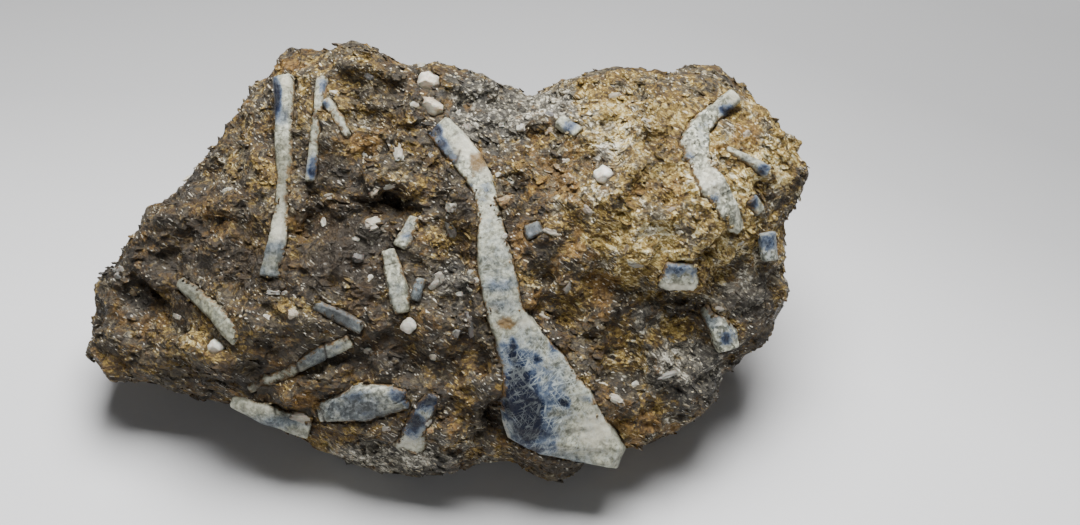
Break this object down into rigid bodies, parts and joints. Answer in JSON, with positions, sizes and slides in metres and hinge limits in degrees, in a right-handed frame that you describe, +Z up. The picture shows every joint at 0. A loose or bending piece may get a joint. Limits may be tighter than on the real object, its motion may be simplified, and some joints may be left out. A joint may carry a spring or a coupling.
{
  "type": "sapphire on matrix",
  "caption": "Rough lump of mica schist with pale grey-blue sapphire crystals grown in its face. It lies on a flat underside, for display or as scenery.",
  "frame": {"origin": "middle of the bounding box in plan, on the flat rest at the underside", "axes": "+X along the lump towards its blunt end, +Y away from the crystal-bearing face, +Z up from the rest"},
  "size_m": [0.1094, 0.062, 0.0475],
  "materials": {
    "matrix": "broken mica schist, brown to gold, glittering",
    "sapphire": "pale greenish-white to grey-blue, dull and cracked",
    "sapphire_blue": "mid blue with white patches, dull",
    "feldspar": "white to pale yellow grains"
  },
  "bodies": {
    "root": {"matrix": "matrix", "sapphire_main": "sapphire", "sapphire_left_blade": "sapphire", "sapphire_needle": "sapphire", "sapphire_splinter": "sapphire", "sapphire_green_blade": "sapphire", "sapphire_jointed_rod": "sapphire", "sapphire_lower_edge": "sapphire", "sapphire_grey_barrel": "sapphire", "sapphire_blue_stub": "sapphire_blue", "sapphire_right_bent": "sapphire", "sapphire_right_splinter": "sapphire", "sapphire_right_block": "sapphire_blue", "sapphire_right_edge": "sapphire_blue", "sapphire_ledge": "sapphire_blue", "sapphire_lower_right": "sapphire", "sapphire_centre_short": "sapphire", "sapphire_centre_long": "sapphire", "sapphire_centre_side": "sapphire", "sapphire_dark_rod": "sapphire", "sapphire_upper_stub": "sapphire", "sapphire_hexagon": "sapphire", "feldspar_crest_upper": "feldspar", "feldspar_crest_lower": "feldspar", "feldspar_cube": "feldspar", "quartz_bead": "feldspar", "quartz_left": "feldspar"}
  },
  "joints": []
}
